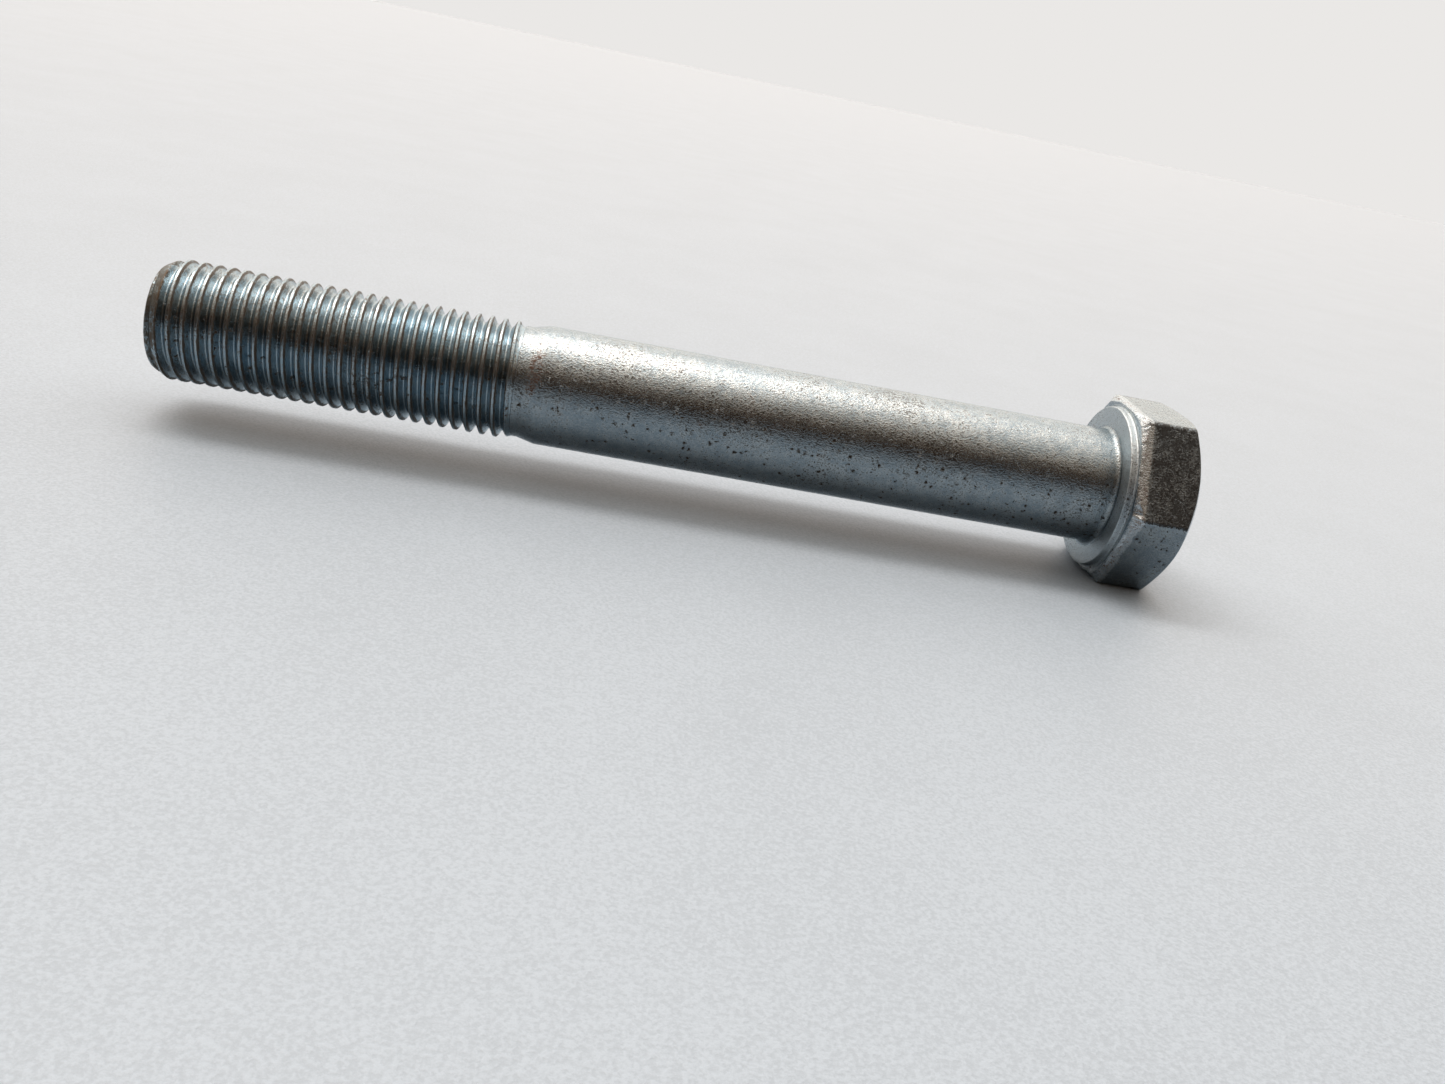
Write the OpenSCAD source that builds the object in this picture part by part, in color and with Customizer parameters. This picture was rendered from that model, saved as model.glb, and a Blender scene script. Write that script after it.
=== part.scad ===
// Hex cap screw, inch fine thread, 3/8-24 x 3 in, zinc plated.
// One forging, kept as the named features it is made up of. They meet face to face and never overlap.
// Millimetres. The screw's axis lies along X, with the head towards +X and the point towards -X.
// The origin is on the axis, in the plane of the bearing face under the head. A flat of the hexagon
// faces straight down (-Z). Each feature is drawn upright, with its own +Z towards the head, then laid
// down by lay_down().

/* [Shank] */

// Nominal diameter, which is also the diameter of the plain shank
nominal_d = 9.525; // [8:0.005:11.5]
// Length from the bearing face to the end of the point
screw_length = 76.2; // [62:0.1:100]
// Radius of the fillet under the head
fillet_r = 0.45; // [0.3:0.05:0.6]

/* [Head] */

// Width of the hexagon across its flats
across_flats = 14.2; // [11.8:0.05:18]
// Height of the head, with its washer face
head_h = 5.95; // [4.5:0.05:8]
// Thickness of the washer face
washer_t = 0.6; // [0.3:0.05:0.9]
// How much narrower the washer face is than the hexagon
washer_inset = 0.8; // [0.4:0.05:1.2]
// How much narrower the flat circle on top is than the hexagon
top_inset = 1.2; // [0.5:0.05:2]
// Angle of the chamfer round the top
top_chamfer = 30; // [20:1:40]
// Height of the small bevel that trimming leaves on the bearing side of each flat
trim_bevel = 0.4; // [0.2:0.05:0.6]
// How far that bevel cuts into the flat
trim_depth = 0.13; // [0.05:0.01:0.15]

/* [Grade marks] */

// Number of radial lines cut into the top
mark_count = 6; // [3:1:6]
// Distance from the axis to the inner end of a line
mark_inner_r = 2.5; // [1.5:0.1:3.5]
// Gap from the outer end of a line to the edge of the top circle
mark_margin = 0.9; // [0.5:0.1:1.5]
// Width of a line
mark_w = 0.35; // [0.2:0.05:0.6]
// Depth of a line
mark_depth = 0.15; // [0.05:0.05:0.3]

/* [Thread] */

// Pitch: 24 threads to the inch
pitch = 1.0583; // [0.85:0.0001:1.5]
// Allowance: how much smaller the crests are than the nominal diameter
thread_allowance = 0.085; // [0.02:0.005:0.2]
// Length from the neck to the end of the point
thread_l = 27.7; // [12:0.1:40]
// Length over which the last thread dies out into the neck
runout_l = 0.9; // [0.5:0.1:2]
// Length of the plain neck that the thread runs out into
neck_l = 0.5; // [0.2:0.1:2]
// Length of the taper from the neck up to the full shank
taper_l = 1.4; // [0.8:0.1:4]
// Turn of the whole thread about its axis, in degrees
thread_turn = 30; // [0:1:359]

/* [Point] */

// Length of the plain chamfered point
point_l = 0.65; // [0.4:0.05:0.9]
// How far the edge of the flat end lies inside the bottom of the thread
point_inset = 0.03; // [0:0.01:0.3]
// Angle between the point's cone and the axis
point_angle = 29; // [20:1:38]

/* [Hidden] */

$fn = 96;
steel = [0.72, 0.76, 0.80];

// The 60 degree thread form: its working depth, and how far the rolling diameter lies inside the
// nominal one, both as shares of the pitch
form_depth = 0.595;
rolling_inset = 0.6495;

body_r = nominal_d / 2;
major_r = (nominal_d - thread_allowance) / 2;
minor_r = major_r - form_depth * pitch;
neck_r = (nominal_d - rolling_inset * pitch) / 2;
point_r = minor_r - point_inset;
point_root_r = point_r + point_l * tan(point_angle);

washer_r = (across_flats - washer_inset) / 2;
top_r = (across_flats - top_inset) / 2;
mark_outer_r = top_r - mark_margin;
hex_r = across_flats / 2 / cos(30);
hex_h = head_h - washer_t;
fillet_outer_r = body_r + fillet_r;

neck_end = screw_length - thread_l;
shank_end = neck_end - neck_l - taper_l;

// The helical part of the thread, from the neck to the point. Distances w run from the neck.
helix_l = thread_l - point_l;
clear_end = 0.05 * pitch;

// One pitch of the thread form, as [place along the pitch, share of the full depth].
// Narrow crest, 60 degree flanks, rounded root.
form = [
    [-0.0625, 0], [0.0625, 0],
    [0.345, 0.82], [0.435, 0.98],
    [0.565, 0.98], [0.655, 0.82],
];
steps = len(form);
last_step = steps * ceil(helix_l / pitch + 2);

// Columns of points round the thread: 36, or fewer on a thread with many turns
max_triangles = 12500;
columns = 6 * min(6, floor(max_triangles * pitch / (12 * steps * helix_l)));

// Smooth change from 0 to 1 while x goes from 0 to 1
function ease(x) = let (t = max(0, min(1, x))) t * t * (3 - 2 * t);

// Place of step i of the thread form on column s, measured from the neck
function place(i, s) =
    let (turns = floor(i / steps) - 1)
    pitch * (turns + form[i % steps][0] - s / columns + thread_turn / 360);

// Radius of the thread surface there: the full form in the middle, dying out into the neck at one
// end and into the point's cone at the other
function surface_r(i, w) =
    let (
        form_r = major_r - (major_r - minor_r) * form[i % steps][1],
        neck_side = neck_r + (form_r - neck_r) * ease(w / runout_l),
        point_side = point_root_r + (neck_side - point_root_r) * ease((helix_l - w) / pitch),
        cone = point_root_r + (helix_l - w) * tan(point_angle)
    )
    min(cone, point_side);

// Point on column s, at radius r and distance w from the neck
function at(s, r, w) = [r * cos(360 * s / columns), r * sin(360 * s / columns), -neck_end - w];

// The steps that lie on each column, and where each column starts in the list of points
inside = [for (s = [0 : columns - 1]) [
    for (i = [0 : last_step]) if (place(i, s) > clear_end && place(i, s) < helix_l - clear_end) i
]];
first = [for (s = [0 : columns]) s < columns ? inside[s][0] : inside[0][0] + steps];
last = [for (s = [0 : columns]) s < columns
    ? inside[s][len(inside[s]) - 1]
    : inside[0][len(inside[0]) - 1] + steps];
base = [for (s = 0, b = 0; s < columns; b = b + last[s] - first[s] + 3, s = s + 1) b];
neck_centre = base[columns - 1] + last[columns - 1] - first[columns - 1] + 3;
point_centre = neck_centre + 1;

// Number of the point for step i on column s. Steps past either end stand for the end rings.
function vertex(s, i) =
    let (step = min(max(i, first[s] - 1), last[s] + 1) - first[s] + 1)
    base[s % columns] + step;

thread_points = concat(
    [for (s = [0 : columns - 1]) each concat(
        [at(s, neck_r, 0)],
        [for (i = inside[s]) at(s, surface_r(i, place(i, s)), place(i, s))],
        [at(s, point_root_r, helix_l)]
    )],
    [[0, 0, -neck_end], [0, 0, -neck_end - helix_l]]
);

thread_faces = concat(
    [for (s = [0 : columns - 1])
        for (i = [min(first[s], first[s + 1]) - 1 : max(last[s], last[s + 1])])
            for (f = [
                [vertex(s, i), vertex(s + 1, i), vertex(s + 1, i + 1)],
                [vertex(s, i), vertex(s + 1, i + 1), vertex(s, i + 1)]
            ])
                if (f[0] != f[1] && f[1] != f[2] && f[2] != f[0]) f],
    [for (s = [0 : columns - 1])
        [neck_centre, vertex(s + 1, first[s + 1] - 1), vertex(s, first[s] - 1)]],
    [for (s = [0 : columns - 1])
        [point_centre, vertex(s, last[s] + 1), vertex(s + 1, last[s + 1] + 1)]]
);

// Lays an upright feature down, so that its +Z becomes +X
module lay_down() {
    rotate([0, 90, 0]) children();
}

// Hexagon with a flat facing down once it is laid down
module hexagon_prism(h) {
    rotate([0, 0, 30]) cylinder(r = hex_r, h = h, $fn = 6);
}

// Round envelope of the hexagon: its top corners are cut back to the top circle
module chamfer_envelope() {
    drop = (hex_r + 1 - top_r) * tan(top_chamfer);
    rotate_extrude() polygon([
        [0, 0],
        [hex_r + 1, 0],
        [hex_r + 1, hex_h - drop],
        [top_r, hex_h],
        [0, hex_h],
    ]);
}

// Wedges that bevel the bearing side of the six flats
module trim_cuts() {
    angle = atan2(trim_depth, trim_bevel);
    for (i = [0 : 5])
        rotate([0, 0, 60 * i])
            translate([across_flats / 2, 0, trim_bevel])
                rotate([0, angle, 0])
                    translate([0, -hex_r, -3 * trim_bevel])
                        cube([2, 2 * hex_r, 3 * trim_bevel]);
}

// One grade line with round ends, pointing along +X
module grade_line() {
    translate([mark_inner_r, -mark_w / 2, 0])
        cube([mark_outer_r - mark_inner_r, mark_w, 1]);
    translate([mark_inner_r, 0, 0]) cylinder(d = mark_w, h = 1);
    translate([mark_outer_r, 0, 0]) cylinder(d = mark_w, h = 1);
}

// The forged hexagon, with plain strength-grade lines cut into its top
module hex_head() {
    color(steel) lay_down() translate([0, 0, washer_t])
        difference() {
            intersection() {
                hexagon_prism(hex_h);
                chamfer_envelope();
            }
            trim_cuts();
            for (i = [0 : mark_count - 1])
                rotate([0, 0, 30 + i * 360 / mark_count])
                    translate([0, 0, hex_h - mark_depth]) grade_line();
        }
}

// Raised ring under the hexagon that bears on the work
module washer_face() {
    color(steel) lay_down()
        difference() {
            cylinder(r = washer_r, h = washer_t);
            translate([0, 0, -1]) cylinder(r = fillet_outer_r, h = washer_t + 2);
        }
}

// Core inside the washer face, and the fillet from it down to the shank
module head_fillet() {
    color(steel) lay_down()
        difference() {
            translate([0, 0, -fillet_r]) cylinder(r = fillet_outer_r, h = fillet_r + washer_t);
            translate([0, 0, -fillet_r]) rotate_extrude()
                translate([fillet_outer_r, 0]) circle(r = fillet_r);
        }
}

// Plain part of the shank
module shank() {
    color(steel) lay_down()
        translate([0, 0, -shank_end]) cylinder(r = body_r, h = shank_end - fillet_r);
}

// Taper from the shank down to the thread's rolling diameter, and the short neck after it
module neck() {
    color(steel) lay_down() rotate_extrude() polygon([
        [0, -shank_end],
        [body_r, -shank_end],
        [neck_r, -neck_end + neck_l],
        [neck_r, -neck_end],
        [0, -neck_end],
    ]);
}

// Rolled right-hand thread, with its core
module thread() {
    color(steel) lay_down() polyhedron(points = thread_points, faces = thread_faces, convexity = 10);
}

// Chamfered end that leads the thread into a nut
module point() {
    color(steel) lay_down() translate([0, 0, -screw_length])
        cylinder(r1 = point_r, r2 = point_root_r, h = point_l);
}

hex_head();
washer_face();
head_fillet();
shank();
neck();
thread();
point();
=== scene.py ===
# Zinc plated hex cap screw with a fine rolled thread, lying level over a pale table.
# Metres throughout. The screw's axis is X, its head is towards +X and a flat of the head faces down.
import math

import bmesh
import bpy
from mathutils import Matrix, Vector, noise


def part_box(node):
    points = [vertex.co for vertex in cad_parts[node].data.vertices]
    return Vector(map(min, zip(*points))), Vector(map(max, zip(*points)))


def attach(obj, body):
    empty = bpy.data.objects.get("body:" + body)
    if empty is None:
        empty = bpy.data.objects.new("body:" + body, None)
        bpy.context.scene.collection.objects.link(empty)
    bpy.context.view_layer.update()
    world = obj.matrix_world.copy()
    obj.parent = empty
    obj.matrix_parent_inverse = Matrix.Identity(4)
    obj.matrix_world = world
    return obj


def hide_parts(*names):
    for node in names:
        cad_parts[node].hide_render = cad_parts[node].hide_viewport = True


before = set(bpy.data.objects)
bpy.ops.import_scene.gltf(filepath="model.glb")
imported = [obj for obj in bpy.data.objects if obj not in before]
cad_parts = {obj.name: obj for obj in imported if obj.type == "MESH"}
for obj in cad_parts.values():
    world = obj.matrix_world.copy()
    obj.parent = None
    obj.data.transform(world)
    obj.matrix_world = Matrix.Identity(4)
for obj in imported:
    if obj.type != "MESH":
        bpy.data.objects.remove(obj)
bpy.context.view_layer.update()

mm = 0.001
scene = bpy.context.scene


class Wire:  # one output of a node, and the values worked out from it
    def __init__(self, graph, node, output):
        self.graph = graph
        self.node = node
        self.output = output

    def __getitem__(self, name):  # another output of the same node
        return Wire(self.graph, self.node, self.graph.find(self.node.outputs, name))

    def __add__(self, other):
        return self.graph.math("ADD", self, other)

    def __radd__(self, other):
        return self.graph.math("ADD", other, self)

    def __sub__(self, other):
        return self.graph.math("SUBTRACT", self, other)

    def __rsub__(self, other):
        return self.graph.math("SUBTRACT", other, self)

    def __mul__(self, other):
        return self.graph.math("MULTIPLY", self, other)

    def __rmul__(self, other):
        return self.graph.math("MULTIPLY", other, self)

    def __truediv__(self, other):
        return self.graph.math("DIVIDE", self, other)

    def __rtruediv__(self, other):
        return self.graph.math("DIVIDE", other, self)


class Graph:  # adds nodes to one tree
    def __init__(self, tree):
        self.tree = tree

    def find(self, sockets, name):
        if isinstance(name, int):
            return sockets[name]
        return next(socket for socket in sockets if socket.name == name and socket.enabled)

    def node(self, kind, settings=None, sockets=None, out=0):
        made = self.tree.nodes.new(kind)
        for name, value in (settings or {}).items():
            if name == "stops":
                self.setStops(made.color_ramp.elements, value)
            else:
                setattr(made, name, value)
        for name, value in (sockets or {}).items():
            socket = self.find(made.inputs, name)
            if isinstance(value, Wire):
                self.tree.links.new(value.output, socket)
            elif socket.type == "RGBA":
                socket.default_value = (*value, 1)
            else:
                socket.default_value = value
        return Wire(self, made, self.find(made.outputs, out) if made.outputs else None)

    def setStops(self, elements, stops):
        elements.remove(elements[-1])
        for i, (place, colour) in enumerate(stops):
            element = elements[0] if i == 0 else elements.new(place)
            element.position = place
            element.color = (*colour, 1)

    def math(self, operation, *values):
        return self.node("ShaderNodeMath", {"operation": operation}, dict(enumerate(values)))

    def vector(self, operation, *values, out=0):
        return self.node("ShaderNodeVectorMath", {"operation": operation}, dict(enumerate(values)), out)

    def ease(self, value, low, high):  # smooth change from 0 at low to 1 at high
        return self.node("ShaderNodeMapRange", {"interpolation_type": "SMOOTHSTEP"},
                         {"Value": value, "From Min": low, "From Max": high})

    def blend(self, share, first, second):  # colours
        return self.node("ShaderNodeMix", {"data_type": "RGBA", "clamp_factor": True},
                         {"Factor": share, "A": first, "B": second}, "Result")

    def noise(self, place, size, detail, roughness=0.5, distortion=0.0):  # size of its spots
        return self.node("ShaderNodeTexNoise", {}, {
            "Vector": place, "Scale": 1 / size, "Detail": detail, "Roughness": roughness,
            "Distortion": distortion})


washerLow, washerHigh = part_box("washer_face")
headLow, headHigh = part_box("hex_head")
shankLow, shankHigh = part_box("shank")
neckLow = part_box("neck")[0]
threadLow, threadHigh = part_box("thread")
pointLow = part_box("point")[0]
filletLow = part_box("head_fillet")[0]

flatRadius = headHigh.z
washerRadius = washerHigh.z
shankRadius = shankHigh.z
crestRadius = (threadHigh.z - threadLow.z) / 2
floorZ = headLow.z


cameraLook = {
    "place": Vector((-39.8, -94.5, 26.7)) * mm,
    "right": 6.05,  # degrees that it looks towards +X from straight along +Y
    "down": 21.5,  # degrees
    "roll": 11.9,  # degrees
    "lens": 29.95,
    "clip": (2 * mm, 20),
}


def addCamera(look):
    right, down, roll = (math.radians(look[name]) for name in ("right", "down", "roll"))
    ahead = Vector((math.sin(right) * math.cos(down), math.cos(right) * math.cos(down), -math.sin(down)))
    level = ahead.cross(Vector((0, 0, 1))).normalized()
    upright = level.cross(ahead)
    across = level * math.cos(roll) + upright * math.sin(roll)
    up = upright * math.cos(roll) - level * math.sin(roll)
    data = bpy.data.cameras.new("camera")
    data.lens = look["lens"]
    data.clip_start, data.clip_end = look["clip"]
    camera = bpy.data.objects.new("camera", data)
    camera.location = look["place"]
    camera.rotation_euler = Matrix((across, up, -ahead)).transposed().to_euler()
    scene.collection.objects.link(camera)
    scene.camera = camera


addCamera(cameraLook)
scene.view_settings.view_transform = "Standard"
print("camera set")


lightBox = {  # a soft bright roof over and behind the table, with the room left dark in front
    "towards": Vector((0, 0.57, 0.82)),  # the middle of the roof
    "strength": 2.7,
    "glow": [  # from straight away from the roof's middle (0) to the middle itself (1)
        (0.0, (0.008, 0.005, 0.003)),
        (0.34, (0.018, 0.011, 0.007)),
        (0.5, (0.040, 0.0245, 0.016)),
        (0.58, (0.067, 0.041, 0.027)),
        (0.66, (0.20, 0.149, 0.106)),
        (0.74, (0.41, 0.345, 0.285)),
        (0.80, (0.60, 0.52, 0.455)),
        (0.89, (0.78, 0.68, 0.595)),
        (1.0, (0.88, 0.765, 0.675)),
    ],
    "backdrop": (0.823, 0.807, 0.791),  # plain pale surroundings
}
lightStrip = {  # the bright strip in the roof that casts the shadow
    "lean": 18,  # degrees behind straight up
    "halfWidth": 0.16,  # sine of the angle
    "evenWidth": 0.6,  # share of the half width that is fully bright
    "shift": -0.25,  # X of the direction to its middle
    "halfLength": 0.55,
    "evenLength": 0.3,  # share of the half length that is fully bright
    "fade": 0.2,  # cosine of the angle from its middle where it starts to fade out
    "strength": 11.5,
    "colour": (1.0, 0.85, 0.745),
}
tabletop = {
    "halfSize": 3.0,
    "colour": (0.303, 0.376, 0.455),  # looks white under the warm roof
    "grain": 0.20 * mm,
    "grainDepth": 0.04 * mm,
    "cloud": 14 * mm,
    "cloudShare": 0.2,  # of the shade, the grain giving the rest
    "shade": (0.36, 0.64),  # noise values of the darkest and the palest spots
    "darkest": 0.87,  # share of the colour left in the darkest grains
    "roughness": 0.55,
}


def lightRoom(box, strip):
    world = bpy.data.worlds.new("lightBox")
    scene.world = world
    world.use_nodes = True
    world.node_tree.nodes.clear()
    graph = Graph(world.node_tree)
    way = graph.node("ShaderNodeTexCoord", out="Generated")
    nearness = graph.vector("DOT_PRODUCT", way, box["towards"].normalized(), out="Value")
    share = nearness * 0.5 + 0.5  # 0 straight away from the roof's middle, 1 at the middle
    glow = graph.node("ShaderNodeValToRGB", {"stops": box["glow"]}, {0: share})
    soft = graph.node("ShaderNodeBackground", {}, {"Color": glow, "Strength": box["strength"]})

    lean = math.radians(strip["lean"])
    middle = Vector((0, math.sin(lean), math.cos(lean)))
    side = graph.vector("DOT_PRODUCT", way, middle.cross(Vector((1, 0, 0))), out="Value")
    above = graph.vector("DOT_PRODUCT", way, middle, out="Value")
    along = graph.node("ShaderNodeSeparateXYZ", {}, {0: way}) - strip["shift"]
    width, length = strip["halfWidth"], strip["halfLength"]
    inside = graph.ease(graph.math("ABSOLUTE", side), width, width * strip["evenWidth"])
    inside = inside * graph.ease(graph.math("ABSOLUTE", along), length, length * strip["evenLength"])
    inside = inside * graph.ease(above, 0.0, strip["fade"])
    bright = graph.node("ShaderNodeBackground", {}, {
        "Color": strip["colour"], "Strength": inside * strip["strength"]})
    lit = graph.node("ShaderNodeAddShader", {}, {0: soft, 1: bright})
    seen = graph.node("ShaderNodeBackground", {}, {"Color": box["backdrop"], "Strength": 1.0})
    direct = graph.node("ShaderNodeLightPath", out="Is Camera Ray")
    both = graph.node("ShaderNodeMixShader", {}, {0: direct, 1: lit, 2: seen})
    graph.node("ShaderNodeOutputWorld", {}, {"Surface": both})


def tableMaterial(table):
    material = bpy.data.materials.new("paleTable")
    material.use_nodes = True
    material.node_tree.nodes.clear()
    graph = Graph(material.node_tree)
    place = graph.node("ShaderNodeTexCoord", out="Object")
    grain = graph.noise(place, table["grain"], detail=2.0)
    cloud = graph.noise(place, table["cloud"], detail=3.0)
    mixed = grain * (1 - table["cloudShare"]) + cloud * table["cloudShare"]
    shade = graph.ease(mixed, *table["shade"])
    darker = tuple(part * table["darkest"] for part in table["colour"])
    colour = graph.blend(shade, darker, table["colour"])
    bumps = graph.node("ShaderNodeBump", {}, {
        "Strength": 1.0, "Distance": table["grainDepth"], "Height": grain}, "Normal")
    surface = graph.node("ShaderNodeBsdfPrincipled", {}, {
        "Base Color": colour, "Roughness": table["roughness"], "Normal": bumps})
    graph.node("ShaderNodeOutputMaterial", {}, {"Surface": surface})
    return material


def addTable(table):
    reach = table["halfSize"]
    mesh = bpy.data.meshes.new("table")
    mesh.from_pydata([(-reach, -reach, floorZ), (reach, -reach, floorZ), (reach, reach, floorZ),
                      (-reach, reach, floorZ)], [], [(0, 1, 2, 3)])
    top = bpy.data.objects.new("table", mesh)
    mesh.materials.append(tableMaterial(table))
    scene.collection.objects.link(top)


lightRoom(lightBox, lightStrip)
addTable(tabletop)
print("light and table set")


zincFinish = {
    "cool": (0.185, 0.235, 0.272),  # bluish passivated zinc
    "pale": (0.36, 0.402, 0.420),
    "bare": (0.42, 0.48, 0.52),  # zinc rubbed bright along an edge
    "soot": (0.022, 0.015, 0.010),  # what has settled in the pits, also the colour of the painted shade on the head's front flat
    "rust": (0.085, 0.040, 0.022),
    "edgeTint": (0.86, 0.93, 0.97),  # of what it mirrors at a glancing angle
    "toneMix": (0.25, 0.25, 0.5),  # shares of the cloud, the mottle and the grain
    "tone": (0.38, 0.62),  # mixed noise values of the coolest and the palest spots
    "roughness": 0.16,
    "unevenShine": 0.20,  # how far the mottle changes the roughness
    "dullRoughness": 0.30,  # added where the zinc is covered
    "dullMetal": 0.35,  # share of the metallic look lost there
    "cloud": 7 * mm,
    "mottle": 0.9 * mm,
    "grain": 0.16 * mm,
    "fine": 0.07 * mm,
    "stretch": (0.75, 1, 1),  # grain drawn out along the screw
    "bumpHeight": 0.042 * mm,
    "reliefMix": (0.45, 0.45, 0.8),  # mottle, fine grain and depth of the pits, beside the grain
    "pitCell": 0.50 * mm,
    "pitShare": 0.6,
    "pitRadius": 0.38,  # of the widest pit, as a share of its cell
    "pitEdge": 0.5,  # share of its radius where a pit is at its darkest
    "pitSide": (0.75, 0.25),  # heights, in shank radii, between which pits grow to full size, painting shade towards the underside
    "pitAbove": 0.2,  # share of their size that pits keep on the upper side
    "bend": 0.60 * mm,  # how far the pits are pulled out of round
    "stainSize": 5 * mm,
    "stainShare": 0.5,
    "stainFrom": 0.70,  # noise value where a stain starts, with a share of 0
    "stainFade": 0.16,  # rise of the noise until it is darkest
    "stainBreak": (0.30, 0.25),  # how far the mottle and the grain break it up
    "stainCover": 0.45,
    "stainDull": 0.35,
    "speckMix": (0.5, 0.3, 0.2),  # shares of the grain, the fine grain and the cloud
    "specks": (0.52, 0.58),  # mixed noise values where a dark speck starts and is darkest
    "speckCover": 0.8,
    "wearRagged": 1.2,  # how far noise moves the edge of worn or dirty places
    "wearEdge": (0.45, 0.70),  # mask values where they start and are full
    "wearCover": 0.9,
}


def noWear(graph, place):
    return {}


def zincMaterial(name, finish, wearAndShade=noWear):  # wear gives masks of bare zinc, soot and rust; the head's also paints shade onto its front flat
    material = bpy.data.materials.new(name)
    material.use_nodes = True
    material.node_tree.nodes.clear()
    graph = Graph(material.node_tree)
    place = graph.node("ShaderNodeTexCoord", out="Object")
    drawn = graph.node("ShaderNodeMapping", {}, {"Vector": place, "Scale": finish["stretch"]})

    cloud = graph.noise(place, finish["cloud"], detail=3.0, roughness=0.55)
    mottle = graph.noise(place, finish["mottle"], detail=4.0, roughness=0.6)
    grain = graph.noise(drawn, finish["grain"], detail=3.0, roughness=0.65)
    fine = graph.noise(drawn, finish["fine"], detail=2.0, roughness=0.6)

    # pits: ragged dark dots of real pitting, smaller on the upper side; their growth towards the
    # underside is painted shade
    bend = graph.vector("MULTIPLY", grain["Color"], Vector((1, 1, 1)) * finish["bend"])
    cells = graph.node("ShaderNodeTexVoronoi", {}, {
        "Vector": graph.vector("ADD", place, bend), "Scale": 1 / finish["pitCell"]}, "Distance")
    chance = graph.node("ShaderNodeSeparateColor", {}, {"Color": cells["Color"]})
    height = graph.node("ShaderNodeSeparateXYZ", {}, {0: place})["Z"]
    high, low = (shankRadius * share for share in finish["pitSide"])
    under = graph.ease(height, high, low) * (1 - finish["pitAbove"]) + finish["pitAbove"]
    reach = graph.ease(chance, 1 - finish["pitShare"], 1.0) * under * finish["pitRadius"]
    pit = graph.ease(cells["Distance"], reach, reach * finish["pitEdge"])

    # stains: brown patches broken up by the mottle and the grain
    patch = graph.noise(drawn, finish["stainSize"], detail=4.0, roughness=0.65, distortion=0.6)
    start = finish["stainFrom"] - finish["stainFade"] * finish["stainShare"]
    byMottle, byGrain = finish["stainBreak"]
    broken = patch + (mottle - 0.5) * byMottle + (grain - 0.5) * byGrain
    stain = graph.ease(broken, start, start + finish["stainFade"])

    byGrain, byFine, byCloud = finish["speckMix"]
    speck = graph.ease(grain * byGrain + fine * byFine + cloud * byCloud, *finish["specks"])
    byCloud, byMottle, byGrain = finish["toneMix"]
    tone = graph.ease(cloud * byCloud + mottle * byMottle + grain * byGrain, *finish["tone"])
    colour = graph.blend(tone, finish["cool"], finish["pale"])
    colour = graph.blend(speck * finish["speckCover"], colour, finish["soot"])
    colour = graph.blend(stain * finish["stainCover"], colour, finish["rust"])
    colour = graph.blend(pit, colour, finish["soot"])
    dull = graph.math("MAXIMUM", pit, stain * finish["stainDull"])
    rough = finish["wearRagged"]
    # paints each mask's colour over the zinc; the head's soot mask also holds painted shade on its front
    # flat
    for stuff, mask in wearAndShade(graph, place).items():
        ragged = (mottle - 0.5) * rough + (grain - 0.5) * rough + (fine - 0.5) * rough
        cover = graph.ease(mask + ragged, *finish["wearEdge"]) * finish["wearCover"]
        colour = graph.blend(cover, colour, finish[stuff])
        if stuff != "bare":
            dull = graph.math("MAXIMUM", dull, cover)
    byMottle, byFine, byPit = finish["reliefMix"]
    relief = grain + mottle * byMottle + fine * byFine - pit * byPit
    uneven = (mottle - 0.5) * finish["unevenShine"]
    roughness = finish["roughness"] + uneven + dull * finish["dullRoughness"]
    bumps = graph.node("ShaderNodeBump", {}, {
        "Strength": 1.0, "Distance": finish["bumpHeight"], "Height": relief}, "Normal")
    surface = graph.node("ShaderNodeBsdfPrincipled", {}, {
        "Base Color": colour, "Metallic": 1 - dull * finish["dullMetal"], "Roughness": roughness,
        "Normal": bumps, "Specular Tint": finish["edgeTint"]})
    graph.node("ShaderNodeOutputMaterial", {}, {"Surface": surface})
    return material


def radiusOf(graph, place):  # the place's parts, and its distance from the axis
    axes = graph.node("ShaderNodeSeparateXYZ", {}, {0: place})
    flat = graph.node("ShaderNodeCombineXYZ", {}, {"Y": axes["Y"], "Z": axes["Z"]})
    return axes, graph.vector("LENGTH", flat, out="Value")


def roundedPath(corners):  # corners: x, radius, rounding, points on the straight stretch that follows
    path = []
    for i, (x, radius, rounding, between) in enumerate(corners):
        here = Vector((x, radius))
        arc = [here]
        if rounding:
            back = (Vector(corners[i - 1][:2]) - here).normalized()
            onward = (Vector(corners[i + 1][:2]) - here).normalized()
            reach = rounding / math.tan(back.angle(onward) / 2)
            first, last = here + back * reach, here + onward * reach
            steps = 6
            arc = [first.lerp(here, k / steps).lerp(here.lerp(last, k / steps), k / steps)
                   for k in range(steps + 1)]
        if path:
            gap = corners[i - 1][3]
            path += [path[-1].lerp(arc[0], k / (gap + 1)) for k in range(1, gap + 1)]
        path += arc
    return path


def skinRings(name, rings):  # closes a stack of rings; the first and last are single points
    shape = bmesh.new()
    rows = [[shape.verts.new(place) for place in ring] for ring in rings]
    for near, far in zip(rows, rows[1:]):
        count = max(len(near), len(far))
        for i in range(count):
            j = (i + 1) % count
            corners = (near[i % len(near)], near[j % len(near)], far[j % len(far)], far[i % len(far)])
            shape.faces.new(list(dict.fromkeys(corners)))
    bmesh.ops.recalc_face_normals(shape, faces=shape.faces)
    mesh = bpy.data.meshes.new(name)
    shape.to_mesh(mesh)
    shape.free()
    mesh.shade_smooth()
    piece = bpy.data.objects.new(name, mesh)
    scene.collection.objects.link(piece)
    return piece


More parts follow.
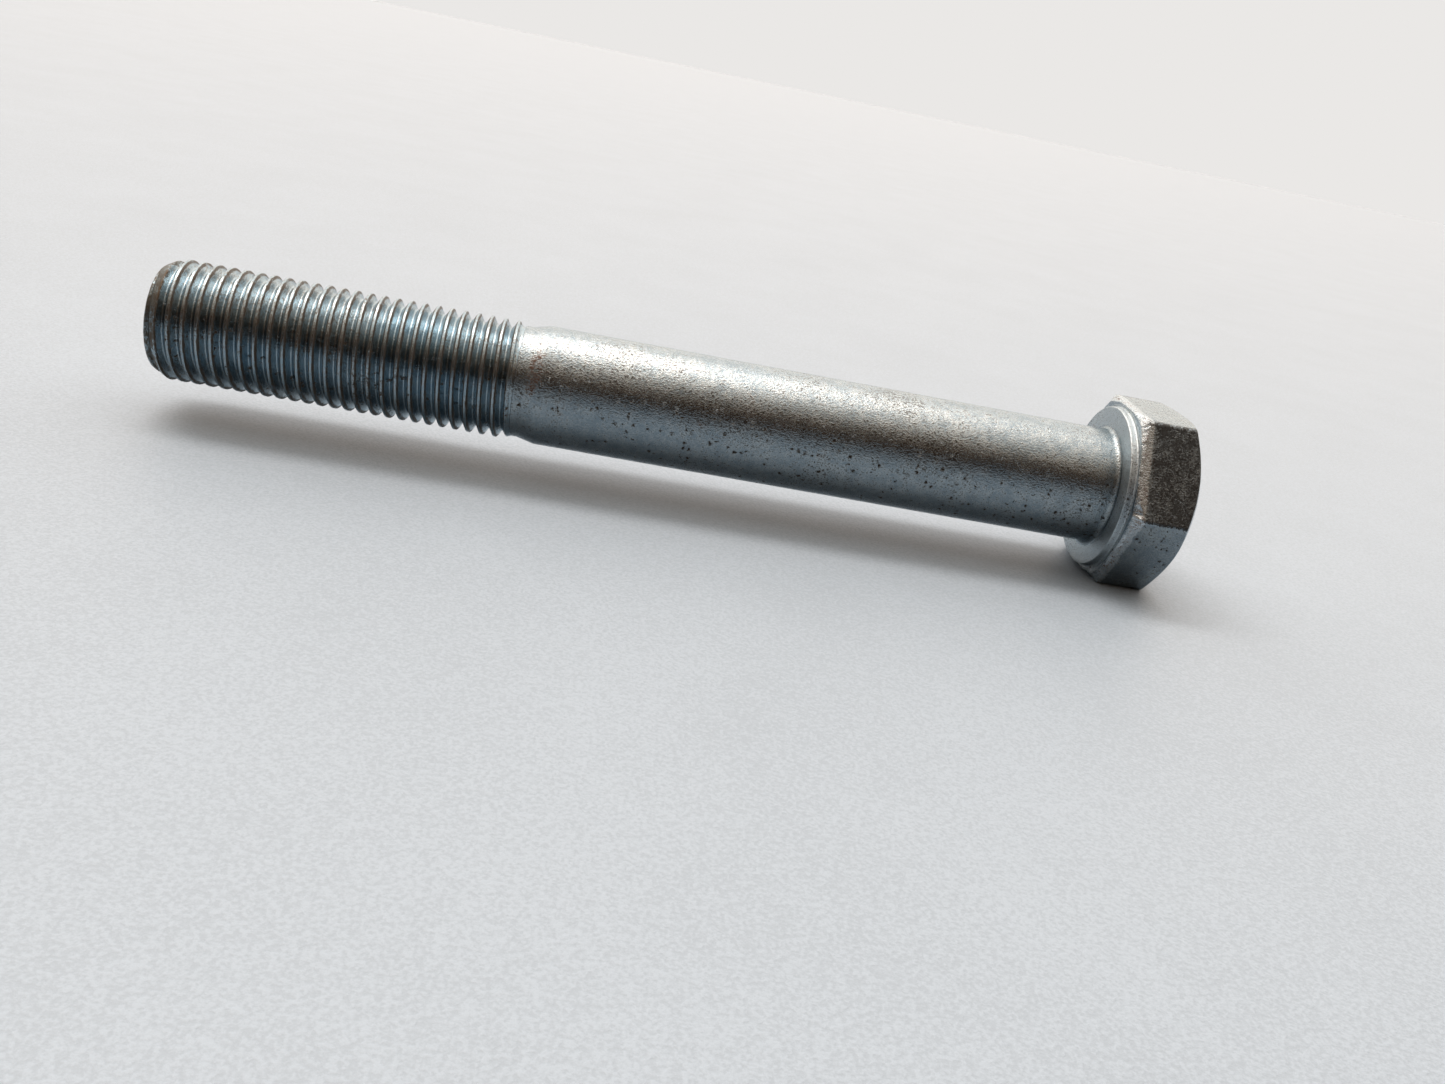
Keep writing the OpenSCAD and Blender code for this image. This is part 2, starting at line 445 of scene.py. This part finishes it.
def turned(name, path, sizes):  # turns a path about the axis, with a slight wave
    rings = []
    for x, radius in path:
        if radius <= 0:
            rings.append([Vector((x, 0, 0))])
            continue
        ring = []
        for i in range(sizes["columns"]):
            angle = 2 * math.pi * i / sizes["columns"]
            place = Vector((x, radius * math.cos(angle), radius * math.sin(angle)))
            lift = sizes["wave"] * noise.noise(place / sizes["waveSize"])
            ring.append(place + Vector((0, place.y, place.z)).normalized() * lift)
        rings.append(ring)
    return skinRings(name, rings)


def settle(piece, slot, *nodes):  # gives a finished piece its place in the frame
    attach(piece, "root")
    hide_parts(*nodes)
    print(piece.name, len(piece.data.polygons), "faces")


def applyTree(piece, tree, inputs):  # runs a node tree on a piece and keeps the result as its mesh
    modifier = piece.modifiers.new(tree.name, "NODES")
    modifier.node_group = tree
    for item in tree.interface.items_tree:
        if item.item_type == "SOCKET" and item.in_out == "INPUT" and item.name in inputs:
            modifier[item.identifier] = inputs[item.name]
    evaluated = piece.evaluated_get(bpy.context.evaluated_depsgraph_get())
    mesh = bpy.data.meshes.new_from_object(evaluated)
    mesh.materials.clear()
    mesh.materials.append(inputs["Material"])
    mesh.polygons.foreach_set("material_index", [0] * len(mesh.polygons))
    piece.modifiers.remove(modifier)
    piece.data = mesh


def newTree(name, inputs):  # an empty tree with a named input for each size
    tree = bpy.data.node_groups.new(name, "GeometryNodeTree")
    tree.interface.new_socket("Geometry", in_out="INPUT", socket_type="NodeSocketGeometry")
    tree.interface.new_socket("Geometry", in_out="OUTPUT", socket_type="NodeSocketGeometry")
    for label, value in inputs.items():
        if isinstance(value, bpy.types.Material):
            kind = "NodeSocketMaterial"
        else:
            kind = "NodeSocketInt" if isinstance(value, int) else "NodeSocketFloat"
        tree.interface.new_socket(label, in_out="INPUT", socket_type=kind)
    return tree


def finishTree(graph, geometry, material):
    real = graph.node("GeometryNodeRealizeInstances", {}, {"Geometry": geometry})
    painted = graph.node("GeometryNodeSetMaterial", {}, {"Geometry": real, "Material": material})
    graph.node("NodeGroupOutput", {}, {"Geometry": painted})


boltHead = {
    "columns": 360,
    "crowding": 0.11,  # how far the columns are drawn towards the corners
    "cornerRounding": 0.42 * mm,
    "topInset": 0.60 * mm,  # from a flat in to the circle on top
    "chamfer": 30,  # degrees
    "chamferRounding": 0.20 * mm,
    "topRounding": 0.16 * mm,
    "poleRadius": 0.06 * mm,  # the smallest ring round the middle of the top
    "trimHeight": 0.26 * mm,  # bevel that trimming leaves on the bearing side
    "trimInset": 0.10 * mm,
    "trimRounding": (0.06 * mm, 0.07 * mm),  # at the bevel's inner and outer edge
    "trimRough": 0.20 * mm,
    "roughSize": (1.3 * mm, 0.33 * mm),  # coarse and fine waves of the trimmed edge
    "fineRough": 0.8,  # height of the fine ones beside the coarse
    "cornerReach": 20,  # degrees from a corner where the bevel starts to grow
    "cornerPower": 1.5,  # more makes it grow later
    "cornerCut": 0.62 * mm,  # how much further in the bevel starts at the corners
    "cornerRise": 1.3,  # how much higher it ends there, in trim heights
    "dentDepth": 0.012 * mm,
    "dentSize": 2.2 * mm,
    "lineNarrow": 0.65,  # share of their width that the grade lines keep at their inner ends
    "lineSkin": (0.05 * mm, 0.02 * mm),  # depths under the top where they start and are full
}
gradeLines = {
    "Count": 6,
    "Inner radius": 2.5 * mm,
    "Outer radius": 5.6 * mm,
    "Width": 0.35 * mm,
    "Depth": 0.15 * mm,
    "Taper start": 1.2 * mm,  # from the axis, where the lines are narrowest
    "Taper end": 5.2 * mm,  # and where they reach their full width
}


def hexRadius(fromCorner, rounding):  # distance out to the hexagon, by the angle from its corner
    centre = (flatRadius - rounding) / math.cos(math.pi / 6)
    touch = math.atan2(rounding * 0.5, centre + rounding * math.cos(math.pi / 6))
    if abs(fromCorner) > touch:
        return flatRadius / math.cos(math.pi / 6 - abs(fromCorner))
    side = centre * math.sin(fromCorner)
    return centre * math.cos(fromCorner) + math.sqrt(rounding ** 2 - side ** 2)


def headPath(reach, cornerShare, ragged, head):  # the outline on one column, from the bearing side
    low, top = washerHigh.x, headHigh.x
    circle = flatRadius - head["topInset"]
    slope = math.tan(math.radians(head["chamfer"]))
    inset = head["trimInset"] + head["cornerCut"] * cornerShare
    rise = head["trimHeight"] * (1 + head["cornerRise"] * cornerShare)
    edge = low + rise + head["trimRough"] * ragged
    start = top - (reach - circle) * slope
    inner, outer = head["trimRounding"]
    return roundedPath([
        (low, 0, 0, 0),
        (low, washerRadius * 0.9, 0, 6),
        (low, reach - inset, inner, 2),
        (edge, reach, outer, 12),
        (start, reach, head["chamferRounding"], 6),
        (top, circle, head["topRounding"], 58),
        (top, head["poleRadius"], 0, 0),
        (top, 0, 0, 0),
    ])


def headRings(head):
    columns = head["columns"]
    coarse, fine = head["roughSize"]
    paths, angles = [], []
    for i in range(columns):
        share = (i * 6 / columns + 0.5) % 1 - 0.5  # place in its sixth, from the corner
        fromCorner = math.pi / 3 * (share - head["crowding"] * math.sin(2 * math.pi * share))
        angle = math.pi / 3 * round(i * 6 / columns - share) + fromCorner
        reach = hexRadius(fromCorner, head["cornerRounding"])
        nearCorner = max(0.0, 1 - abs(fromCorner) / math.radians(head["cornerReach"]))
        cornerShare = nearCorner ** head["cornerPower"]
        rim = Vector((0, math.cos(angle), math.sin(angle))) * reach
        ragged = noise.noise(rim / coarse) + noise.noise(rim / fine) * head["fineRough"]
        paths.append(headPath(reach, cornerShare, ragged, head))
        angles.append(angle)
    rings = []
    for k in range(len(paths[0])):
        ring = []
        for path, angle in zip(paths, angles):
            x, radius = path[k]
            outward = Vector((0, math.cos(angle), math.sin(angle)))
            place = Vector((x, 0, 0)) + outward * radius
            dent = head["dentDepth"] * noise.noise(place / head["dentSize"])
            ring.append(place + outward * dent * min(1, radius / washerRadius))
        rings.append(ring)
    rings[0] = [Vector((washerHigh.x, 0, 0))]
    rings[-1] = [Vector((headHigh.x, 0, 0))]
    return rings


def gradeTree(inputs):  # presses radial lines into the top
    tree = newTree("gradeLines", inputs)
    graph = Graph(tree)
    given = graph.node("NodeGroupInput")
    axes, radius = radiusOf(graph, graph.node("GeometryNodeInputPosition"))
    turn = graph.math("ARCTAN2", axes["Z"], axes["Y"]) * given["Count"] / (2 * math.pi)
    fold = (turn - graph.math("ROUND", turn)) * (2 * math.pi) / given["Count"]
    along = radius * graph.math("COSINE", fold)
    across = radius * graph.math("SINE", fold)
    past = graph.math("MAXIMUM", given["Inner radius"] - along, along - given["Outer radius"])
    past = graph.math("MAXIMUM", past, 0.0)
    aside = graph.node("ShaderNodeCombineXYZ", {}, {"X": past, "Y": across})
    away = graph.vector("LENGTH", aside, out="Value")
    onTop = graph.ease(axes["X"], *(headHigh.x - depth for depth in boltHead["lineSkin"]))
    taper = graph.ease(along, given["Taper start"], given["Taper end"])
    narrow = boltHead["lineNarrow"]
    width = given["Width"] * (taper * (1 - narrow) + narrow)
    pressed = graph.ease(away, width * 0.72, width * 0.12) * onTop
    sink = graph.node("ShaderNodeCombineXYZ", {}, {"X": pressed * given["Depth"] * -1})
    kept = graph.node("GeometryNodeStoreNamedAttribute", {"data_type": "FLOAT", "domain": "POINT"}, {
        "Geometry": given["Geometry"], "Name": "pressed", "Value": pressed})
    moved = graph.node("GeometryNodeSetPosition", {}, {"Geometry": kept, "Offset": sink})
    finishTree(graph, moved, given["Material"])
    return tree


# the head's wear, rust and soot, and painted shade on its front flat
headDirtAndShade = {
    "clear": 0.15 * mm,  # beyond the washer face, where wear and soot are full
    "bandMiddle": 0.45 * mm,  # worn band on the trimmed edge, up from the bearing side
    "bandHalf": (0.70 * mm, 0.22 * mm),  # from its middle: where it ends and where it is full
    "bandBare": 0.80,
    "bandRust": 0.40,
    "upper": (0.8, 0.95),  # heights where the upper corners' soot starts and is full, in flat radii
    "corners": (1.112, 1.138),  # distances out from the axis, likewise
    "cornerSoot": 0.6,
    "frontTurn": 60,  # degrees from the upper flat forwards to the one darkened with painted shade
    "front": (0.975, 0.995),  # distances out towards it where its painted shade starts and is full
    "frontSoot": 0.50,  # painted shade on the front flat, which mirrors the dark room, on top of the soot every flat has
    "flatSoot": 0.20,
    "flatRise": (0.2 * mm, 1.3 * mm),  # up from the bearing side, where the flats' soot and painted shade start and are full
    "circleHalf": (0.16 * mm, 0.04 * mm),  # from the circle on top: where rust ends and is full
    "circleDepth": 0.2 * mm,  # under the top, where it ends too
    "circleRust": 0.60,
    "lineSoot": 0.8,
}


# The trimmed edge is bare and rusty, and the circle on top rusty. Soot lies on the flats, at the upper
# corners and in the grade lines, and the front flat is darkened further with painted shade.
def headWearAndShade(graph, place):
    dirtAndShade = headDirtAndShade
    axes, radius = radiusOf(graph, place)
    outside = graph.ease(radius, washerRadius, washerRadius + dirtAndShade["clear"])
    beside = graph.math("ABSOLUTE", axes["X"] - (washerHigh.x + dirtAndShade["bandMiddle"]))
    band = graph.ease(beside, *dirtAndShade["bandHalf"]) * outside
    upper = graph.ease(axes["Z"], *(flatRadius * share for share in dirtAndShade["upper"]))
    corner = graph.ease(radius, *(flatRadius * share for share in dirtAndShade["corners"]))
    # painted shade: the flat that faces the dark front of the room is darkened more than the other flats
    turn = math.radians(dirtAndShade["frontTurn"])
    front = axes["Z"] * math.cos(turn) - axes["Y"] * math.sin(turn)
    flatSootAndShade = graph.ease(front, *(flatRadius * share for share in dirtAndShade["front"]))
    flatSootAndShade = flatSootAndShade * dirtAndShade["frontSoot"] + dirtAndShade["flatSoot"]
    flats = graph.ease(axes["X"], *(washerHigh.x + rise for rise in dirtAndShade["flatRise"])) * outside * flatSootAndShade
    circle = graph.math("ABSOLUTE", radius - (flatRadius - boltHead["topInset"]))
    onTop = graph.ease(axes["X"], headHigh.x - dirtAndShade["circleDepth"], headHigh.x)
    ring = graph.ease(circle, *dirtAndShade["circleHalf"]) * onTop
    pressed = graph.node("ShaderNodeAttribute", {"attribute_name": "pressed"}, out="Fac")
    soot = graph.math("MAXIMUM", flats, pressed * dirtAndShade["lineSoot"])
    soot = graph.math("MAXIMUM", soot, corner * upper * dirtAndShade["cornerSoot"])
    rust = graph.math("MAXIMUM", band * dirtAndShade["bandRust"], ring * dirtAndShade["circleRust"])
    return {"bare": band * dirtAndShade["bandBare"], "soot": soot, "rust": rust}


headZinc = zincMaterial("headZinc", dict(
    zincFinish, cool=(0.165, 0.205, 0.240), pale=(0.34, 0.385, 0.405), bare=(0.50, 0.56, 0.60),
    soot=(0.012, 0.009, 0.007), stretch=(0.8, 1, 1), stainShare=0.4), headWearAndShade)
head = skinRings("boltHead", headRings(boltHead))
lineInputs = dict(gradeLines, Material=headZinc)
applyTree(head, gradeTree(lineInputs), lineInputs)
settle(head, "zinc_head", "hex_head")


washerRing = {
    "columns": 240,
    "edge": 0.10 * mm,
    "foot": 0.16 * mm,  # hollow where it meets the hexagon
    "wave": 0.006 * mm,
    "waveSize": 3 * mm,
    "spread": 1.6,  # how far it spreads against the head, in foot roundings
    "spreadDepth": 0.01 * mm,
    "sink": 0.05 * mm,  # how far its back reaches into the head
}


def washerPath(ring):
    face, back = washerLow.x, washerHigh.x
    foot = back - ring["spreadDepth"]
    widest = washerRadius + ring["foot"] * ring["spread"]
    return roundedPath([
        (face, 0, 0, 0),
        (face, shankRadius, 0, 6),
        (face, washerRadius, ring["edge"], 4),
        (foot, washerRadius, ring["foot"], 3),
        (foot, widest, 0, 0),
        (back + ring["sink"], widest, 0, 0),
        (back + ring["sink"], 0, 0, 0),
    ])


# painted reflection: paler colours than the other zinc brighten the washer face, which mirrors the floor
# in the screw's shadow
seatZinc = zincMaterial("seatZinc", dict(
    zincFinish, cool=(0.34, 0.40, 0.44), pale=(0.50, 0.555, 0.585), stretch=(1, 1, 1), roughness=0.42,
    pitShare=0.3, stainShare=0.15))
seat = turned("washerFace", washerPath(washerRing), washerRing)
seat.data.materials.append(seatZinc)
settle(seat, "zinc_seat", "washer_face")


rolledThread = {
    "columns": 96,  # steps in one turn
    "rows": 24,  # steps across one pitch
    "crestPhase": 77,  # degrees round from +Y where a crest crosses crestPlace
    "crestPlace": -50.215 * mm,
    "overlap": 0.2 * mm,  # length hidden inside the neck
    "spare": 1.8,  # turns at least beyond each end, which close the end faces
    "closing": 1.05,  # how soon they reach the axis, in pitches
    "crestEdge": (1.9, 0.9),  # where nicks end and are deepest, in crest half widths
    "seamEdge": 0.85,  # where the seam ends, in crest half widths
    "lineOffset": 1.75,  # middle of the dark lines beside the crest, in crest half widths
    "wanderSize": 1.3 * mm,  # size of the noise in the seam and the nicks
    "seamRough": 1.6,
    "nicks": (0.62, 0.78),  # noise values where a nick starts and is deepest
}
threadForm = {
    "Pitch": 25.4 * mm / 24,
    "Crest radius": crestRadius,
    "Root radius": crestRadius - 0.63 * mm,
    "Neck radius": 4.419 * mm,
    "Crest half width": 0.085 * mm,
    "Crest rounding": 0.06 * mm,
    "Root rounding": 0.34 * mm,
    "Crest seam": 0.035 * mm,
    "Runout": 0.95 * mm,
    "Point radius": 4.06 * mm,
    "Point angle": math.radians(29),
    "Point rounding": 0.05 * mm,
    "End edge": 0.12 * mm,
    "End dish": 0.14 * mm,
    "Line reach": 0.115 * mm,  # from a dark crest line's middle to where it ends
    "Line core": 0.04 * mm,  # and to where it stops being darkest
    "Lines full": 0.9 * mm,  # from the tip
    "Lines end": 0.4 * mm,  # and where none are left
    "Nick depth": 0.05 * mm,
    "Weld": 0.002 * mm,
    "Seed": 3,
}
shankBody = {
    "columns": 192,
    "shoulder": 0.5 * mm,
    "neckRounding": 0.35 * mm,
    "wave": 0.005 * mm,
    "waveSize": 3 * mm,
    "sink": 0.05 * mm,  # how far its end reaches into the washer face
    "spread": 1.1,  # how far it spreads there, in fillets
    "spreadDepth": 0.005 * mm,
    "plainNeck": 0.5 * mm,  # length of the neck beyond its taper
}


def shankPath(shank):
    fillet = washerLow.x - filletLow.x
    neckRadius = threadForm["Neck radius"]
    widest = shankRadius + fillet * shank["spread"]
    return roundedPath([
        (washerLow.x + shank["sink"], 0, 0, 2),
        (washerLow.x + shank["sink"], widest, 0, 0),
        (washerLow.x + shank["spreadDepth"], widest, 0, 0),
        (washerLow.x, shankRadius, fillet, 150),
        (shankLow.x, shankRadius, shank["shoulder"], 6),
        (neckLow.x + shank["plainNeck"], neckRadius, shank["neckRounding"], 3),
        (neckLow.x, neckRadius, 0, 0),
        (neckLow.x, 0, 0, 0),
    ])


def threadTree(inputs, thread):  # one long strip, a pitch wide, wound into a closed thread
    tree = newTree("rolledThread", inputs)
    graph = Graph(tree)
    given = graph.node("NodeGroupInput")
    pitch = given["Pitch"]

    strip = graph.node("GeometryNodeMeshGrid", {}, {
        "Size X": given["Turns"], "Size Y": 1.0,
        "Vertices X": given["Turns"] * given["Columns"] + 1, "Vertices Y": given["Rows"] + 1}, "Mesh")
    axes = graph.node("ShaderNodeSeparateXYZ", {}, {0: graph.node("GeometryNodeInputPosition")})
    turn = axes["X"] + given["Turns"] * 0.5
    even = axes["Y"]
    crowd = graph.math("SINE", even * (2 * math.pi)) * (0.5 / (2 * math.pi))
    across = even - crowd  # rows lie half as far apart at the crest
    place = given["First crest"] + pitch * (turn + across)
    angle = turn * (2 * math.pi)

    # 60 degree flanks, a narrow crest with the seam that rolling leaves, a round root
    away = graph.math("ABSOLUTE", across) * pitch
    flank = given["Crest radius"] - (away - given["Crest half width"]) * math.sqrt(3)
    form = graph.math("SMOOTH_MIN", flank, given["Crest radius"], given["Crest rounding"])
    form = graph.math("SMOOTH_MAX", form, given["Root radius"], given["Root rounding"])
    outward = graph.node("ShaderNodeCombineXYZ", {}, {
        "X": place, "Y": graph.math("COSINE", angle) * crestRadius,
        "Z": graph.math("SINE", angle) * crestRadius})
    wander = graph.node("ShaderNodeTexNoise", {"noise_dimensions": "4D"}, {
        "Vector": outward, "W": given["Seed"], "Scale": 1 / thread["wanderSize"], "Detail": 2.0})
    crest = graph.ease(away, *(given["Crest half width"] * share for share in thread["crestEdge"]))
    seam = graph.ease(away, given["Crest half width"] * thread["seamEdge"], 0.0)
    beside = graph.math("ABSOLUTE", away - given["Crest half width"] * thread["lineOffset"])
    form = form - seam * given["Crest seam"] * (wander * thread["seamRough"])
    form = form - crest * graph.ease(wander, *thread["nicks"]) * given["Nick depth"]

    # the thread dies out into the neck at one end and into the cone of the point at the other
    fromNeck = given["Neck plane"] - place
    fromTip = place - given["Tip plane"]
    full = graph.ease(fromNeck, 0.0, given["Runout"])
    ended = graph.ease(fromTip, given["Lines end"], given["Lines full"])
    lines = graph.ease(beside, given["Line reach"], given["Line core"]) * full * ended
    radius = given["Neck radius"] + full * (form - given["Neck radius"])
    inTip = graph.math("MAXIMUM", fromTip, 0.0)
    cone = given["Point radius"] + inTip * graph.math("TANGENT", given["Point angle"])
    radius = graph.math("SMOOTH_MIN", radius, cone, given["Point rounding"])
    bend = graph.math("MAXIMUM", 1 - inTip / given["End edge"], 0.0)
    radius = radius - given["End edge"] * (1 - graph.math("SQRT", 1 - bend * bend))

    # what runs on past either end is drawn in to the axis, and closes that end
    fold = pitch * thread["closing"]
    tipShare = graph.math("MINIMUM", graph.math("MAXIMUM", fromTip * -1 / fold, 0.0), 1.0)
    neckShare = graph.math("MINIMUM", graph.math("MAXIMUM", fromNeck * -1 / fold, 0.0), 1.0)
    left = (1 - tipShare) * (1 - neckShare)
    radius = radius * left * graph.math("GREATER_THAN", left, 0.04)
    along = graph.math("MINIMUM", graph.math("MAXIMUM", place, given["Tip plane"]), given["Neck plane"])
    along = along + given["End dish"] * graph.ease(tipShare, 0.0, 0.75)

    wound = graph.node("ShaderNodeCombineXYZ", {}, {
        "X": along, "Y": graph.math("COSINE", angle) * radius, "Z": graph.math("SINE", angle) * radius})
    kept = graph.node("GeometryNodeStoreNamedAttribute", {"data_type": "FLOAT", "domain": "POINT"}, {
        "Geometry": strip, "Name": "crestLines", "Value": lines})
    moved = graph.node("GeometryNodeSetPosition", {}, {"Geometry": kept, "Position": wound})
    joined = graph.node("GeometryNodeMergeByDistance", {}, {"Geometry": moved, "Distance": given["Weld"]})
    smooth = graph.node("GeometryNodeSetShadeSmooth", {}, {"Geometry": joined})
    finishTree(graph, smooth, given["Material"])
    return tree


def threadInputs(form, thread, material):
    pitch = form["Pitch"]
    tipPlane = pointLow.x
    neckPlane = neckLow.x + thread["overlap"]
    crestAtZero = thread["crestPlace"] - pitch * thread["crestPhase"] / 360
    before = math.ceil((crestAtZero - tipPlane) / pitch + thread["spare"])  # turns past the point
    firstCrest = crestAtZero - before * pitch
    turns = math.ceil((neckPlane - firstCrest) / pitch + thread["spare"])
    return dict(form, **{
        "Columns": thread["columns"], "Rows": thread["rows"], "Turns": turns, "First crest": firstCrest,
        "Tip plane": tipPlane, "Neck plane": neckPlane, "Material": material})


neckPatch = {
    "middle": Vector((shankLow.x - 0.3 * mm, -0.88 * shankRadius, 0.42 * shankRadius)),
    "squeeze": Vector((2.2, 1, 0.8)),  # narrower along the screw, longer up it
    "reach": (3.0 * mm, 0.3 * mm),  # from its middle: where it ends and where it is full
    "rust": 0.62,
}


def neckWear(graph, place):  # the rusty patch where the shank was rolled down
    offset = graph.vector("SUBTRACT", place, neckPatch["middle"])
    squeezed = graph.vector("MULTIPLY", offset, neckPatch["squeeze"])
    away = graph.vector("LENGTH", squeezed, out="Value")
    return {"rust": graph.ease(away, *neckPatch["reach"]) * neckPatch["rust"]}


shankZinc = zincMaterial("shankZinc", zincFinish, neckWear)
shank = turned("shankBody", shankPath(shankBody), shankBody)
shank.data.materials.append(shankZinc)
settle(shank, "zinc_shank", "head_fillet", "shank", "neck")


threadDirt = {
    "point": (1.5 * mm, 0.7 * mm),  # from the tip: where its rust ends and where it is full
    "pointRust": 0.75,
    "crestSoot": 0.8,
}


def threadWear(graph, place):  # dark lines along the crests, and a dirty point
    axes = graph.node("ShaderNodeSeparateXYZ", {}, {0: place})
    lines = graph.node("ShaderNodeAttribute", {"attribute_name": "crestLines"}, out="Fac")
    point = graph.ease(axes["X"], *(pointLow.x + reach for reach in threadDirt["point"]))
    return {"rust": point * threadDirt["pointRust"], "soot": lines * threadDirt["crestSoot"]}


# painted reflection: paler and bluer than the shank's zinc, standing in for the bluish floor mirrored in
# the thread's grooves
threadZinc = zincMaterial("threadZinc", dict(
    zincFinish, cool=(0.190, 0.270, 0.325), pale=(0.39, 0.455, 0.49), soot=(0.075, 0.050, 0.030),
    rust=(0.055, 0.042, 0.026), roughness=0.21, stretch=(1, 1, 1), stainShare=0.4,
    bumpHeight=0.020 * mm), threadWear)
thread = bpy.data.objects.new("threadRolled", bpy.data.meshes.new("blank"))
scene.collection.objects.link(thread)
sizes = threadInputs(threadForm, rolledThread, threadZinc)
applyTree(thread, threadTree(sizes, rolledThread), sizes)
settle(thread, "zinc_thread", "thread", "point")
